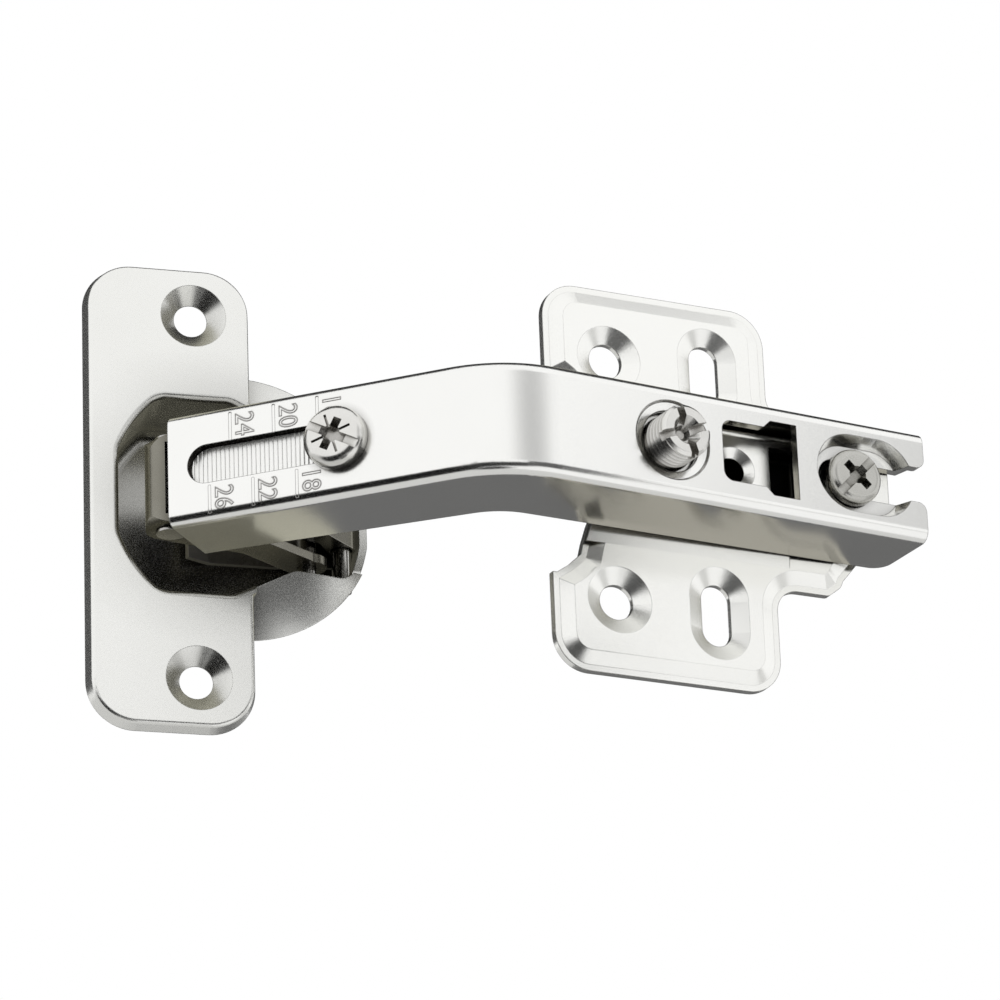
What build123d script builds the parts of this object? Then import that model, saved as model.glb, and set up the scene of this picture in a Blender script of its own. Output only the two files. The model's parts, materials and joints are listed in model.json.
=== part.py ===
from build123d import *
from math import atan2, cos, degrees, hypot, radians, sin, tan
import os

# A concealed hinge for a corner cabinet door, in millimetres, as fixed to the back of a panel.
# +Z is up, along the hinge pins. +X runs along the panel, away from the door, and Y points
# into the panel. The origin is midway between the two round screw holes of the mounting plate,
# on the plate's back face. The door closes nearly in line with the panel, where the springs
# hold it, and swings away from the panel as it opens.

# Sheet thickness of each stamping
plate_sheet = 1.0
arm_sheet = 1.25
carrier_sheet = 1.2
link_sheet = 1.1
cup_sheet = 1.0
spring_sheet = 0.6

# Length of a cut that goes right through
through = 60.0

# Fits: clearance on a radius or between two faces
pin_clearance = 0.05
thread_clearance = 0.05
slide_clearance = 0.06
link_side_clearance = 0.12
open_pivot_clearance = 0.22

# Mounting plate: screw holes 32 mm apart up the panel
plate_hole_spacing = 32.0
plate_hole_radius = 2.25
plate_slot_offset = 13.7
plate_slot_width = 4.0
plate_slot_length = 8.0
plate_left = 8.6
plate_right = 22.2
plate_height = 51.0
plate_corner_radius = 4.6
plate_rim = 0.8
plate_rim_slope = 66.0
plate_pad_rise = 0.75
dimple_spread = 2.1

# Bridge of the mounting plate, which stands inside the arm
bridge_left = 3.2
bridge_right = 34.2
bridge_rise = 9.35
bridge_half_width = 5.7
bridge_wall_lean = 1.0
foot_half_width = 8.8
foot_rise = 0.4
foot_left = 4.4
foot_right = 23.8
tail_half_width = 11.4
tail_corner_radius = 0.9
neck_radius = 3.0
bridge_hole_place = 12.6
bridge_hole_radius = 1.7
bridge_hole_spread = 1.2
bridge_window_start = 17.6
bridge_window_length = 5.0
bridge_window_half_height = 3.6

# Arm: a bent channel, its web towards the viewer. Its place is that of the bend's corner.
arm_bend_x = -21.75
arm_bend_y = -16.82
arm_front_angle = -46.0
arm_rear_angle = 4.0
arm_front_length = 44.05
arm_rear_length = 59.5
arm_half_width = 7.25
arm_tip_depth = 10.3
arm_depth = 12.6
arm_rear_depth = 10.9
arm_tip_cut = 0.3
arm_bend_radius = 16.0
arm_lower_radius = 8.0
arm_rear_corner_radius = 2.2
arm_edge_radius = 1.5
arm_inner_edge_radius = 0.4

# Overlay slot and clamp screw, measured along the front of the arm from its tip
clamp_place = 22.3
clamp_travel = 17.0
slot_width = 5.0
clamp_head_radius = 3.95
clamp_head_height = 2.2
clamp_shank_radius = 2.3
clamp_length = 9.0

# Features of the rear of the arm, measured from the bend corner
adjuster_place = 23.1
adjuster_radius = 3.4
adjuster_stand = 3.5
adjuster_neck_radius = 1.9
adjuster_button_radius = 3.1
adjuster_button_height = 1.1
adjuster_dish_radius = 5.2
adjuster_dish_depth = 1.5
collar_radius = 4.7
collar_length = 3.2
window_start = 30.2
window_step = 36.2
window_end = 40.9
window_half_height = 3.95
window_half_height_rear = 4.9
window_corner = 1.3
fixing_place = 49.7
fork_width = 4.6
fork_lead = 2.2
fork_corner_radius = 1.2
dish_radius = 5.1
dish_lead = 0.9
dish_length = 3.9
dish_floor_radius = 4.3
dish_depth = 2.1
fixing_head_radius = 3.6
fixing_head_height = 1.6
fixing_shank_radius = 2.1
fixing_length = 8.0
depth_travel_out = 3.0
depth_travel_in = 1.0
boss_wall = 1.0
boss_length = 2.5

# Screw head recesses, and how far each head is turned as it stands
recess_depth = 1.3
recess_reach = 2.1
recess_width = 1.1
head_slot_depth = 0.45
tick_start = 0.8
tick_end = 2.6
tick_width = 0.3
tick_depth = 0.3
clamp_screw_turn = -29.0
fixing_screw_turn = 46.0

# Link carrier, which slides inside the front of the arm
carrier_length = 28.0
carrier_front_half_width = 4.6
carrier_joggle_start = 10.3
carrier_joggle_end = 13.3
carrier_depth = 10.4
tooth_pitch = 0.58
tooth_width = 0.2
tooth_depth = 0.06
tooth_start = 0.6
tooth_end = 20.0
eye_wall = 1.9
tip_eye_radius = 1.8
carrier_web_lead = 3.5

# Hinge pins: places in the cup's own frame, from the cup's screw holes and its face
pin_radius = 1.2
carrier_outer_pin = (-3.67, 1.84)
carrier_inner_pin = (3.36, -2.47)
cup_outer_pin = (15.6, -7.5)
cup_inner_pin = (20.2, -8.0)
pin_head = 0.35
pin_head_radius = 1.8
rear_pin_relief = 1.1

# Links
link_eye_radius = 2.5
link_nose_radius = 3.1
link_waist = 2.4
link_bend_radius = 1.4
link_arch = 1.8
link_web_lap = 0.7
link_web_end = 0.85
inner_eye_radius = 2.0
inner_tip_eye_radius = 1.75
inner_link_height = 3.0
inner_link_crown = 2.6
inner_link_width = 6.0

# Hinge cup and its flange, on the door. Its screw holes are placed from the arm's tip.
cup_holes_ahead = 6.18
cup_holes_into = 5.96
cup_angle = -9.8
flange_draft = 14.0
flange_hole_spacing = 48.0
flange_hole_radius = 2.1
countersink_radius = 4.15
countersink_depth = 1.8
flange_height = 61.2
flange_left = 13.7
flange_right = 7.4
flange_corner_radius = 6.0
flange_rise = 2.0
flange_edge_radius = 0.5
cup_diameter = 35.0
cup_centre = 6.0
cup_depth = 13.0
cup_bottom_radius = 2.2
well_left = 9.6
well_half_height = 12.7
well_chamfer_x = 4.2
well_chamfer_z = 5.4
well_taper_start = 4.6
well_throat_start = 12.6
well_throat_half = 8.7
well_right = 22.3
well_corner_radius = 2.8
well_lip_radius = 0.8
skirt_inner_radius = 6.0
skirt_crest = 0.1
skirt_drop = 3.6
skirt_bulge = 0.35
notch_half_width = 7.7
notch_depth = 7.0
notch_corner_radius = 1.8

# Closing spring, a leaf on the floor of the cup
spring_half_width = 4.4
spring_start = 1.0
spring_lift_start = 12.5
spring_tip = 19.6
spring_gap = 0.3


# Frames. A face frame lies on a face that looks at the viewer: X along it, Y up, Z out of it.
# A plan frame is seen from above: X along the face, Y into the material, Z up.
def face_frame(x, y, angle):
    a = radians(angle)
    return Plane(origin=(x, y, 0), x_dir=(cos(a), sin(a), 0), z_dir=(sin(a), -cos(a), 0)).location


def plan_frame(x, y, angle):
    a = radians(angle)
    return Plane(origin=(x, y, 0), x_dir=(cos(a), sin(a), 0), z_dir=(0, 0, 1)).location


def edges_at(solid, points):
    return [solid.edges().sort_by_distance(Vector(*point))[0] for point in points]


def corners_at(face, points):
    return [face.vertices().sort_by_distance(Vector(*point, 0))[0] for point in points]


def slab(face, low, high):
    # A flat outline made a solid between two levels
    return Pos(0, 0, low) * extrude(face, high - low, dir=(0, 0, 1))


def round_bar(radius, low, high):
    return Pos(0, 0, (low + high) / 2) * Cylinder(radius, high - low)


def cone_bar(low_radius, high_radius, low, high):
    return Pos(0, 0, (low + high) / 2) * Cone(low_radius, high_radius, high - low)


def long_cone(low_radius, high_radius, low, high, length):
    # A cone drawn out along X, as a dish with two round ends
    section = Polygon((-low_radius, low), (low_radius, low), (high_radius, high),
                      (-high_radius, high), align=None)
    middle = Plane.YZ.location * extrude(section, length, dir=(0, 0, 1))
    end = cone_bar(low_radius, high_radius, low, high)
    return end + middle + Pos(length, 0, 0) * end


arm_tip_x = arm_bend_x - arm_front_length * cos(radians(arm_front_angle))
arm_tip_y = arm_bend_y - arm_front_length * sin(radians(arm_front_angle))
cup_holes_x = arm_tip_x + cup_holes_ahead
cup_holes_y = arm_tip_y + cup_holes_into
arm_front = plan_frame(arm_tip_x, arm_tip_y, arm_front_angle)
arm_front_face = face_frame(arm_tip_x, arm_tip_y, arm_front_angle)
arm_rear_face = face_frame(arm_bend_x, arm_bend_y, arm_rear_angle)
cup_face = face_frame(cup_holes_x, cup_holes_y, cup_angle)
cup_plan = plan_frame(cup_holes_x, cup_holes_y, cup_angle)
bend_angle = arm_rear_angle - arm_front_angle


def in_world(place):
    # A pin's place in the cup's frame (along the flange, out of it) as X and Y
    a = radians(cup_angle)
    along, out = place
    return (cup_holes_x + along * cos(a) + out * sin(a),
            cup_holes_y + along * sin(a) - out * cos(a))


def in_arm_front(place):
    # The same place along the front of the arm and into it
    x, y = in_world(place)
    a = radians(arm_front_angle)
    dx, dy = x - arm_tip_x, y - arm_tip_y
    return (dx * cos(a) + dy * sin(a), -dx * sin(a) + dy * cos(a))


def adjuster_x():
    return arm_bend_x + adjuster_place * cos(radians(arm_rear_angle))


def fixing_x():
    return arm_bend_x + fixing_place * cos(radians(arm_rear_angle))


def arm_web_y(x):
    return arm_bend_y + (x - arm_bend_x) * tan(radians(arm_rear_angle))


def cross_recess(top):
    # A cross recess that narrows towards its floor, cut down from the level top
    wing = Polygon((-recess_reach, 0), (recess_reach, 0),
                   (recess_reach * 0.55, -recess_depth), (-recess_reach * 0.55, -recess_depth),
                   align=None)
    blade = Pos(0, 0, top) * Rot(90, 0, 0) * extrude(wing, recess_width / 2, both=True)
    core = cone_bar(recess_width * 0.6, recess_width * 1.05, top - recess_depth, top)
    return blade + Rot(0, 0, 90) * blade + core


def on_rear(along, into):
    # A place on the rear of the arm, seen in the plan frame of its front
    b = radians(bend_angle)
    return (arm_front_length + along * cos(b) - into * sin(b), along * sin(b) + into * cos(b))


def turn_point(into):
    # Where the bend lies at a depth below the web
    return (arm_front_length - into * tan(radians(bend_angle / 2)), into)


def hinge_arm():
    inside = arm_half_width - arm_sheet
    turn, low_turn = turn_point(0), turn_point(arm_depth)
    side = Polygon((0, 0), turn, on_rear(arm_rear_length, 0), on_rear(arm_rear_length, arm_rear_depth),
                   low_turn, (arm_tip_cut, arm_tip_depth), align=None)
    side = fillet(corners_at(side, [turn]), arm_bend_radius)
    side = fillet(corners_at(side, [low_turn]), arm_lower_radius)
    side = fillet(corners_at(side, [on_rear(arm_rear_length, arm_rear_depth)]),
                  arm_rear_corner_radius)
    body = extrude(side, arm_half_width, both=True)
    half = radians(bend_angle / 2)
    bow = arm_bend_radius * (1 / cos(half) - 1)
    crown = (turn[0] - bow * sin(half), bow * cos(half))
    marks = [(10, 0), crown, on_rear(30, 0)]
    body = fillet(edges_at(body, [(x, y, z) for x, y in marks
                                  for z in (-arm_half_width, arm_half_width)]), arm_edge_radius)
    spare = 10
    turn_in = turn_point(arm_sheet)
    room = Polygon((-spare, arm_sheet), turn_in, on_rear(arm_rear_length + spare, arm_sheet),
                   on_rear(arm_rear_length + spare, arm_depth + spare),
                   turn_point(arm_depth + spare), (-spare, arm_depth + spare), align=None)
    room = fillet(corners_at(room, [turn_in]), arm_bend_radius - arm_sheet)
    hollow = extrude(room, inside, both=True)
    shift = (-arm_sheet * sin(half), arm_sheet * cos(half))
    marks = [(10, arm_sheet), (crown[0] + shift[0], crown[1] + shift[1]), on_rear(30, arm_sheet)]
    hollow = fillet(edges_at(hollow, [(x, y, z) for x, y in marks for z in (-inside, inside)]),
                    arm_inner_edge_radius)
    arm = arm_front * (body - hollow)
    slot = SlotCenterToCenter(clamp_travel + 0.4, slot_width)
    slot_place = Pos(clamp_place - clamp_travel / 2, 0)
    arm -= arm_front_face * slab(slot_place * slot, -arm_sheet - 1, 1)
    collar = Pos(adjuster_place, 0) * (
        round_bar(collar_radius + 0.8, -adjuster_dish_depth - arm_sheet * 0.8, -arm_sheet / 2)
        + round_bar(collar_radius, -adjuster_dish_depth - collar_length, -arm_sheet))
    dish_skin = long_cone(dish_floor_radius + arm_sheet * 0.7, dish_radius + arm_sheet * 0.5,
                          -dish_depth - arm_sheet, -arm_sheet / 2, dish_length)
    dish_room = long_cone(dish_floor_radius, dish_radius, -dish_depth, 0, dish_length)
    arm += arm_rear_face * collar
    arm += arm_rear_face * Pos(fixing_place - dish_lead, 0) * dish_skin
    bore = adjuster_radius + thread_clearance
    arm -= arm_rear_face * Pos(adjuster_place, 0) * (
        cone_bar(bore + 0.7, adjuster_dish_radius, -adjuster_dish_depth, 0)
        + round_bar(adjuster_dish_radius, 0, 1)
        + round_bar(bore, -adjuster_dish_depth - collar_length - 1, 0))
    arm -= arm_rear_face * Pos(fixing_place - dish_lead, 0) * dish_room
    window = Polygon((window_start, -window_half_height), (window_step, -window_half_height),
                     (window_step + 1, -window_half_height_rear),
                     (window_end, -window_half_height_rear), (window_end, window_half_height_rear),
                     (window_step + 1, window_half_height_rear), (window_step, window_half_height),
                     (window_start, window_half_height), align=None)
    window = fillet(corners_at(window, [(window_start, -window_half_height),
                                        (window_start, window_half_height)]), window_corner)
    arm -= arm_rear_face * slab(window, -arm_sheet - 1, 1)
    fork_start = fixing_place - fork_lead
    fork_length = arm_rear_length - fork_start + fork_width
    fork = Pos(fork_start + fork_length / 2, 0) * SlotCenterToCenter(fork_length, fork_width)
    arm -= arm_rear_face * slab(fork, -dish_depth - arm_sheet - 1, 1)
    tines = arm.edges().filter_by(lambda e: abs(e.length - arm_sheet) < 0.02)
    end = arm_rear_face * Pos(arm_rear_length, 0, -arm_sheet / 2)
    tips = [end * Pos(0, side * fork_width / 2, 0) for side in (-1, 1)]
    arm = fillet([tines.sort_by_distance(tip.position)[0] for tip in tips], fork_corner_radius)
    return arm


def link_carrier():
    top = arm_sheet + slide_clearance
    wide = arm_half_width - arm_sheet - slide_clearance
    narrow = carrier_front_half_width
    a = in_arm_front(carrier_outer_pin)
    b = in_arm_front(carrier_inner_pin)
    eye = pin_radius + eye_wall
    side = Polygon((a[0] + carrier_web_lead, top), (carrier_length, top), (carrier_length, top + 5.5),
                   (carrier_length - 9, carrier_depth), (b[0] + 5, carrier_depth),
                   (b[0] + eye * 0.7, b[1] + eye * 0.7), (b[0] - eye * 0.8, b[1] + eye * 0.6),
                   (a[0] - tip_eye_radius, a[1]),
                   (a[0] - tip_eye_radius * 0.2, a[1] - tip_eye_radius * 0.75), align=None)
    side += Pos(*a) * Circle(tip_eye_radius)
    side += Pos(*b) * Circle(eye - 0.2)
    low = a[0] - 10
    plan = Polygon((low, -narrow), (carrier_joggle_start, -narrow), (carrier_joggle_end, -wide),
                   (carrier_length, -wide), (carrier_length, wide), (carrier_joggle_end, wide),
                   (carrier_joggle_start, narrow), (low, narrow), align=None)
    inner_plan = offset(plan, -carrier_sheet, kind=Kind.INTERSECTION)
    stretch = Polygon((low - 2, -narrow + carrier_sheet), (low + 3, -narrow + carrier_sheet),
                      (low + 3, narrow - carrier_sheet), (low - 2, narrow - carrier_sheet),
                      align=None)
    rear = Pos(carrier_length, 0) * Rectangle(6, 2 * (wide - carrier_sheet))
    body = extrude(side, wide + 1, both=True)
    keep = Rot(90, 0, 0) * extrude(plan, through, both=True)
    room = Rot(90, 0, 0) * extrude(inner_plan + stretch + rear, through)
    room = Pos(0, top + carrier_sheet + through, 0) * room
    body = body & keep
    body = fillet(edges_at(body, [(20, top, wide), (20, top, -wide)]), 0.8)
    body -= room
    boss = Rot(-90, 0, 0) * round_bar(clamp_shank_radius + boss_wall + 0.4, top,
                                      top + carrier_sheet + boss_length)
    body += Pos(clamp_place, 0, 0) * boss
    bore = Rot(-90, 0, 0) * round_bar(clamp_shank_radius + thread_clearance, 0, through)
    body -= Pos(clamp_place, 0, 0) * bore
    for x, y in (a, b):
        body -= Pos(x, y, 0) * Cylinder(pin_radius, through)
    teeth = int((tooth_end - tooth_start) / tooth_pitch)
    groove = Polygon((-tooth_width / 2, 0), (tooth_width / 2, 0), (0, tooth_depth), align=None)
    row = [Pos(tooth_start + i * tooth_pitch, top) * groove for i in range(teeth)]
    cuts = extrude(Sketch() + row, narrow - 0.8, both=True)
    return arm_front * (body - cuts)


def outer_link():
    # A folded strap: two cheeks joined by a web round the carrier's tip
    ax, ay = carrier_outer_pin
    cx, cy = cup_outer_pin
    length = hypot(cx - ax, cy - ay)
    outside = carrier_front_half_width + link_side_clearance + link_sheet
    inside = outside - link_sheet
    nose = link_nose_radius
    side = Polygon((0, -nose), (4, -nose),
                   (length * 0.5, -link_waist - link_arch), (length - 1, -link_eye_radius),
                   (length, link_eye_radius), (length * 0.55, link_waist - link_arch),
                   (4, nose - 0.7), (0, nose), align=None)
    side = fillet([v for v in side.vertices() if 2 < v.X < length - 4], 3)
    side += Circle(nose)
    side += Pos(length, 0) * Circle(link_eye_radius)
    body = extrude(side, outside, both=True)
    keep = Pos(length - nose, 0) * RectangleRounded(2 * length, 2 * outside, link_bend_radius)
    body = body & (Rot(90, 0, 0) * extrude(keep, through, both=True))
    room = Circle(nose - link_sheet)
    room += Pos(length, 0) * Rectangle(2 * length + 2 * link_web_lap, through)
    room += Polygon((0, 0), (-20, -20 * link_web_end), (-20, -20), (0, -20), align=None)
    body -= extrude(room, inside, both=True)
    for x in (0, length):
        body -= Pos(x, 0, 0) * Cylinder(pin_radius + pin_clearance, through)
    # Seen from above, out of the cup is towards -Y in the plan frame
    turn = degrees(atan2(-(cy - ay), cx - ax))
    return cup_plan * Pos(ax, -ay, 0) * Rot(0, 0, turn) * body


def inner_link():
    bx, by = carrier_inner_pin
    dx, dy = cup_inner_pin
    length = hypot(dx - bx, dy - by)
    crown = inner_link_crown
    low = inner_link_height / 2
    tip = inner_tip_eye_radius
    side = Polygon((0, -inner_eye_radius), (length * 0.35, -crown - low),
                   (length * 0.75, -crown - low), (length + tip * 0.6, -tip * 0.8),
                   (length - tip * 0.6, tip * 0.8), (length * 0.78, low - crown),
                   (length * 0.4, low - crown), (0, inner_eye_radius), align=None)
    side = fillet([v for v in side.vertices() if 2 < v.X < length - 2.5], 1.5)
    side += Circle(inner_eye_radius)
    side += Pos(length, 0) * Circle(tip)
    body = extrude(side, inner_link_width / 2, both=True)
    body -= Cylinder(pin_radius + pin_clearance, through)
    body -= Pos(length, 0, 0) * Cylinder(pin_radius + open_pivot_clearance, through)
    turn = degrees(atan2(-(dy - by), dx - bx))
    return cup_plan * Pos(bx, -by, 0) * Rot(0, 0, turn) * body


def pin(place, half_length, headed):
    x, y = in_world(place)
    body = Cylinder(pin_radius, 2 * half_length)
    if headed:
        head = round_bar(pin_head_radius, half_length, half_length + pin_head)
        body += head + mirror(head, Plane.XY)
    return Pos(x, y, 0) * body


def well_outline(grow):
    # The opening of the cup: wide under the flange, narrow where the links come out
    top = well_half_height
    points = [(-well_left, -top + well_chamfer_z), (-well_left, top - well_chamfer_z),
              (-well_left + well_chamfer_x, top), (well_taper_start, top),
              (well_throat_start, well_throat_half), (well_right, well_throat_half),
              (well_right, -well_throat_half), (well_throat_start, -well_throat_half),
              (well_taper_start, -top), (-well_left + well_chamfer_x, -top)]
    outline = Polygon(*points, align=None)
    outline = outline & Pos(cup_centre, 0) * Circle(cup_diameter / 2 - cup_sheet)
    outline = fillet(outline.vertices(), well_corner_radius)
    if grow:
        outline = offset(outline, grow, kind=Kind.ARC)
    return outline


def well(grow, depth, bottom_radius):
    body = extrude(well_outline(grow), depth, dir=(0, 0, -1))
    floor = body.faces().sort_by(Axis.Z)[0]
    return fillet(floor.edges(), bottom_radius)


def well_lip():
    # What is cut away to round the edge of the opening
    wide, level = well_outline(3 * well_lip_radius), 2 * well_lip_radius
    rim = slab(wide - well_outline(0), -level, 0)
    top = rim.faces().sort_by(Axis.Z)[-1]
    rim = fillet(top.inner_wires()[0].edges(), well_lip_radius)
    return slab(wide, -well_lip_radius, well_lip_radius) - rim


def skirt_line(level):
    # The skirt's section from its crest to its rim, lowered by level
    start = (skirt_inner_radius, -skirt_crest - level)
    rim = (cup_diameter / 2 - level * 0.35, -skirt_drop - level * 0.6)
    over = ((start[0] + rim[0]) / 2, (start[1] + rim[1]) / 2 + skirt_bulge)
    return ThreePointArc(start, over, rim)


def hinge_cup():
    spare = 20
    base = Pos((flange_right - flange_left) / 2, 0, -flange_rise) * RectangleRounded(
        flange_right + flange_left, flange_height, flange_corner_radius)
    pan = extrude(base, flange_rise, taper=flange_draft)
    pan = fillet(pan.faces().sort_by(Axis.Z)[-1].edges(), flange_edge_radius)
    pocket = extrude(offset(base, -cup_sheet), flange_rise - cup_sheet, taper=flange_draft)
    body = pan - pocket
    crest, under = skirt_line(0), skirt_line(cup_sheet)
    start, rim = crest @ 0, crest @ 1
    section = make_face([crest, Line(rim, under @ 1), under, Line(under @ 0, start)])
    skirt = revolve(Plane.XZ * section, Axis.Z, 360)
    above_section = make_face([crest, Polyline(rim, (spare, -skirt_drop), (spare, spare),
                                               (0, spare), (0, -skirt_crest), start)])
    above = revolve(Plane.XZ * above_section, Axis.Z, 360)
    half = Pos(spare + flange_right - 1.2, 0, 0) * Box(2 * spare, 4 * spare, 4 * spare)
    half -= Pos(flange_right - spare, 0, -flange_rise - spare) * Box(
        2 * spare, 4 * spare, 2 * spare)
    beyond = Pos(spare + flange_right, 0, 0) * Box(2 * spare, 4 * spare, 4 * spare)
    body += (Pos(cup_centre, 0, 0) * skirt) & half
    body += well(cup_sheet, cup_depth, cup_bottom_radius)
    body -= (Pos(cup_centre, 0, 0) * above) & beyond
    for side in (-1, 1):
        place = Pos(0, side * flange_hole_spacing / 2, 0)
        body += place * cone_bar(flange_hole_radius + 0.8, countersink_radius + 0.6,
                                 -countersink_depth - 0.1, -cup_sheet / 2)
        body -= place * (cone_bar(flange_hole_radius, countersink_radius, -countersink_depth, 0)
                         + round_bar(flange_hole_radius, -spare, 0))
    room = well(0, cup_depth - cup_sheet, cup_bottom_radius - cup_sheet * 0.5)
    body -= room
    body -= extrude(well_outline(0), spare, dir=(0, 0, 1))
    body -= well_lip()
    notch = Pos(spare, 0, -notch_depth + spare) * Box(2 * spare, 2 * notch_half_width, 2 * spare)
    notch = fillet(notch.edges().filter_by(Axis.X).sort_by(Axis.Z)[:2], notch_corner_radius)
    body -= Pos(well_right - 3.2, 0, 0) * notch
    for along, out in (cup_outer_pin, cup_inner_pin):
        body -= Pos(along, 0, out) * Rot(90, 0, 0) * Cylinder(pin_radius, 4 * spare)
    return cup_face * body


def closing_spring():
    floor = -cup_depth + cup_sheet
    rise = cup_inner_pin[1] - inner_eye_radius - spring_gap - spring_sheet
    line = Polyline((spring_start, floor + 1.6), (spring_start + 3, floor),
                    (spring_lift_start, floor), (spring_tip - 3, rise), (spring_tip, rise))
    line = FilletPolyline((spring_start, floor + 1.6), (spring_start + 3, floor),
                          (spring_lift_start, floor), (spring_tip - 3.0, rise),
                          (spring_tip, rise), radius=1.4)
    strip = trace(line, spring_sheet)
    strip = Pos(0, spring_sheet / 2) * strip
    body = Rot(90, 0, 0) * extrude(strip, spring_half_width, both=True)
    return cup_face * body


def screw(head_radius, head_height, shank_radius, length, tip_chamfer):
    # A pan head screw with a cross and a slot, its head seated on the level 0, its shank below
    head = round_bar(head_radius, 0, head_height)
    head = fillet(head.edges().sort_by(Axis.Z)[-1:], head_height * 0.62)
    shank = round_bar(shank_radius, -length, 0)
    shank = chamfer(shank.edges().sort_by(Axis.Z)[:1], tip_chamfer)
    slot = Pos(0, 0, head_height) * Box(2 * head_radius + 1, recess_width, 2 * head_slot_depth)
    return head + shank - cross_recess(head_height) - slot


def clamp_screw():
    # Its head has a tick between each two wings of the cross
    body = screw(clamp_head_radius, clamp_head_height, clamp_shank_radius, clamp_length, 0.5)
    for turn in (45, 135, 225, 315):
        tick = Pos((tick_start + tick_end) / 2, 0, clamp_head_height) * Box(
            tick_end - tick_start, tick_width, 2 * tick_depth)
        body -= Rot(0, 0, turn) * tick
    return arm_front_face * Pos(clamp_place, 0, slide_clearance) * Rot(0, 0, clamp_screw_turn) * body


def fixing_screw():
    x = fixing_x()
    tilt_gap = fixing_head_radius * sin(radians(arm_rear_angle)) + slide_clearance
    seat = -arm_web_y(x) - dish_depth + tilt_gap
    return face_frame(x, 0, 0) * Pos(0, 0, seat) * Rot(0, 0, fixing_screw_turn) * screw(
        fixing_head_radius, fixing_head_height, fixing_shank_radius, fixing_length, 0.5)


def side_adjust_screw():
    # Threaded through the arm's collar, its button held under the bridge of the plate
    x = adjuster_x()
    reach = -arm_web_y(x) - bridge_rise
    foot = -reach + 0.35
    neck_end = foot - plate_sheet - 0.75
    body = round_bar(adjuster_radius, foot, adjuster_stand)
    body = chamfer(body.edges().sort_by(Axis.Z)[-1:], 0.4)
    body += round_bar(adjuster_neck_radius, neck_end, foot)
    body += round_bar(adjuster_button_radius, neck_end - adjuster_button_height, neck_end)
    body -= Pos(0, 0, 0.7) * cross_recess(adjuster_stand - 0.7)
    body -= cone_bar(1.3, 2.3, adjuster_stand - 1.0, adjuster_stand)
    for turn in (0, 90):
        slit = Box(2 * adjuster_radius + 2, recess_width, 1.1)
        body -= Pos(0, 0, adjuster_stand - 0.5) * Rot(0, 0, turn) * slit
    return arm_rear_face * Pos(adjuster_place, 0, 0) * body


def neck_outline(side):
    # What is cut away at the door end, between a wing and the bridge
    points = [(-plate_left - 5, 13.3), (-plate_left + 0.6, 13.1), (-6.4, 12.0), (-4.7, 10.4),
              (-foot_left + 0.1, foot_half_width), (-bridge_left - 0.3, 6.4),
              (-bridge_left, bridge_half_width), (-bridge_left, -1), (-plate_left - 5, -1)]
    return Polygon(*[(x, side * z) for x, z in points], align=None)


def plate_blank(tail_corner):
    # Outline of the plate: two wings, and a tail behind with its corners rounded or not
    wing_x = (plate_right - plate_left) / 2
    blank = Pos(wing_x, 0) * RectangleRounded(plate_right + plate_left, plate_height,
                                              plate_corner_radius)
    reach = tail_half_width
    blank += Polygon((0, -reach), (29.6, -reach), (31.3, -reach + 1.3), (31.7, -9.2),
                     (bridge_right, -6.2), (bridge_right, 6.2), (31.7, 9.2),
                     (31.3, reach - 1.3), (29.6, reach), (0, reach), align=None)
    inner = [(plate_right, reach), (plate_right, -reach)]
    blank = fillet(corners_at(blank, inner), neck_radius)
    if tail_corner:
        corners = [(31.3, reach - 1.3), (29.6, reach), (31.3, 1.3 - reach), (29.6, -reach)]
        blank = fillet(corners_at(blank, corners), tail_corner)
    return blank


def screw_hole(hole):
    # The sheet is pushed back down round each screw hole
    level = plate_sheet * 0.7
    height = plate_sheet + plate_pad_rise - level
    slope = degrees(atan2(dimple_spread, height))
    ring = Pos(0, 0, level) * extrude(hole, height + 0.01, taper=-slope, dir=(0, 0, 1))
    return ring + slab(hole, -1, 4)


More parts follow.
